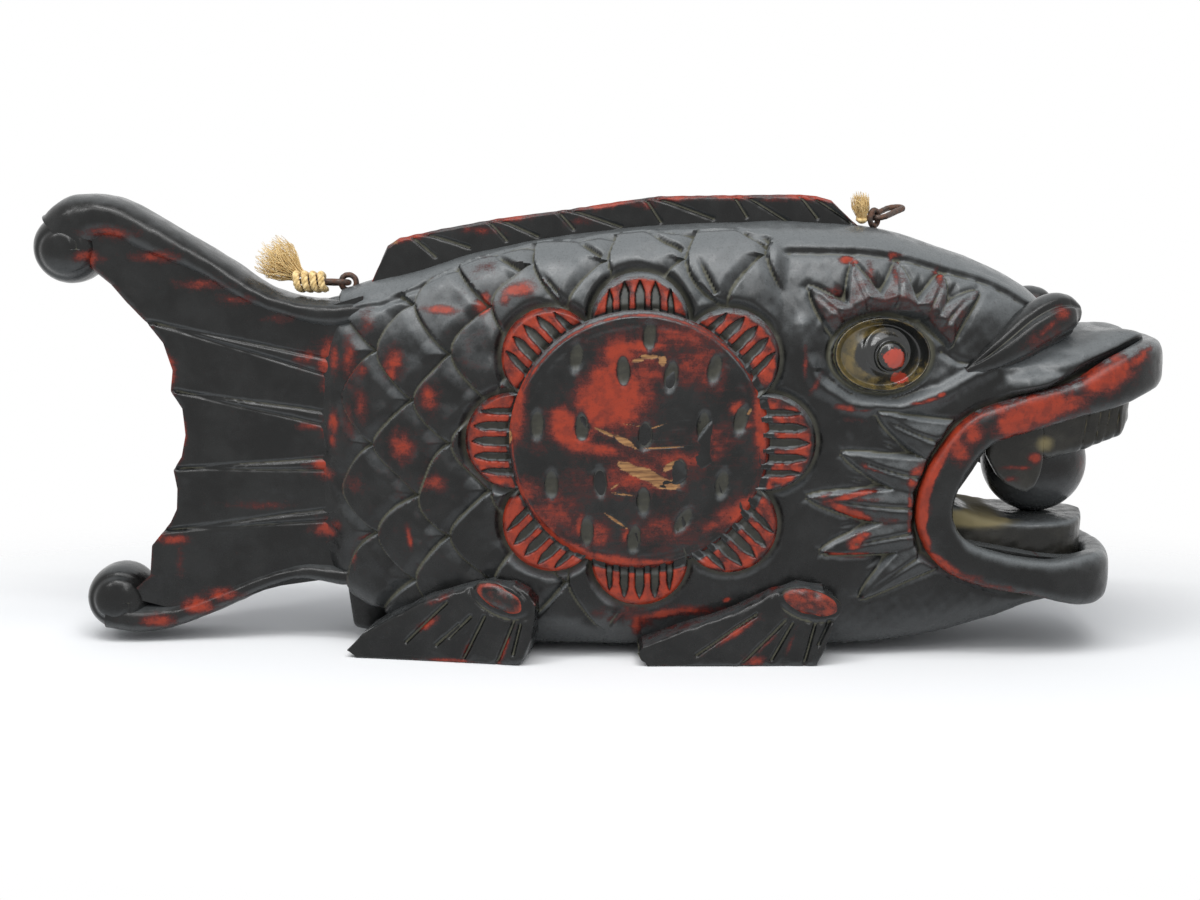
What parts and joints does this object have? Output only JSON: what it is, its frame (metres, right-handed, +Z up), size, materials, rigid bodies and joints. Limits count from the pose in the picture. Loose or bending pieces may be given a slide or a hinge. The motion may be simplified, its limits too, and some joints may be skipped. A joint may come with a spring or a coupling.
{
  "type": "wooden fish board",
  "caption": "Carved, lacquered hollow temple fish, hung by iron links and struck on a lotus medallion; a loose ball lies in its jaws and it stands on its fins.",
  "frame": {"origin": "centre of the bounding box in plan, on the surface that the fins stand on", "axes": "+X to the fish's head, +Y to its far side, the side away from the camera, +Z up"},
  "size_m": [0.5866, 0.129, 0.2401],
  "materials": {
    "black_lacquer": "aged black lacquer over red, worn to red and to bare wood on raised edges",
    "red_lacquer": "dark red lacquer, dulled with age",
    "eye_gilt": "darkened gilding over lacquer, with a black pupil",
    "bare_wood": "bare wood",
    "iron": "hand-forged iron with brown rust",
    "hemp": "frayed hemp rope"
  },
  "bodies": {
    "board": {"fish_body": "black_lacquer", "dorsal_fin": "black_lacquer", "dorsal_fin_peg_1": "bare_wood", "dorsal_fin_peg_2": "bare_wood", "pectoral_fin_near": "black_lacquer", "pectoral_fin_near_peg_1": "bare_wood", "pectoral_fin_near_peg_2": "bare_wood", "pectoral_fin_far": "black_lacquer", "pectoral_fin_far_peg_1": "bare_wood", "pectoral_fin_far_peg_2": "bare_wood", "pelvic_fin_near": "black_lacquer", "pelvic_fin_near_peg_1": "bare_wood", "pelvic_fin_near_peg_2": "bare_wood", "pelvic_fin_far": "black_lacquer", "pelvic_fin_far_peg_1": "bare_wood", "pelvic_fin_far_peg_2": "bare_wood", "eye_near": "eye_gilt", "eye_far": "eye_gilt", "rear_staple": "iron", "front_staple": "iron", "front_rope_end": "hemp"},
    "rear_hanger": {"rear_link": "iron", "rear_rope_end": "hemp"},
    "front_hanger": {"front_link": "iron"},
    "ball": {"mouth_ball": "red_lacquer"}
  },
  "joints": [
    {"name": "rear_link_swing", "type": "hinge", "parent": "board", "child": "rear_hanger", "pos_m": [-0.1315, 0, 0.18983], "axis": [0, 1, 0], "range_deg": [0, 90]},
    {"name": "front_link_swing", "type": "hinge", "parent": "board", "child": "front_hanger", "pos_m": [0.1425, 0, 0.22328], "axis": [0.766, -0.6428, 0], "range_deg": [-36, 60]},
    {"name": "ball_roll", "type": "hinge", "parent": "board", "child": "ball", "pos_m": [0.2305, 0, 0.0959], "axis": [0, 1, 0], "continuous": true}
  ]
}
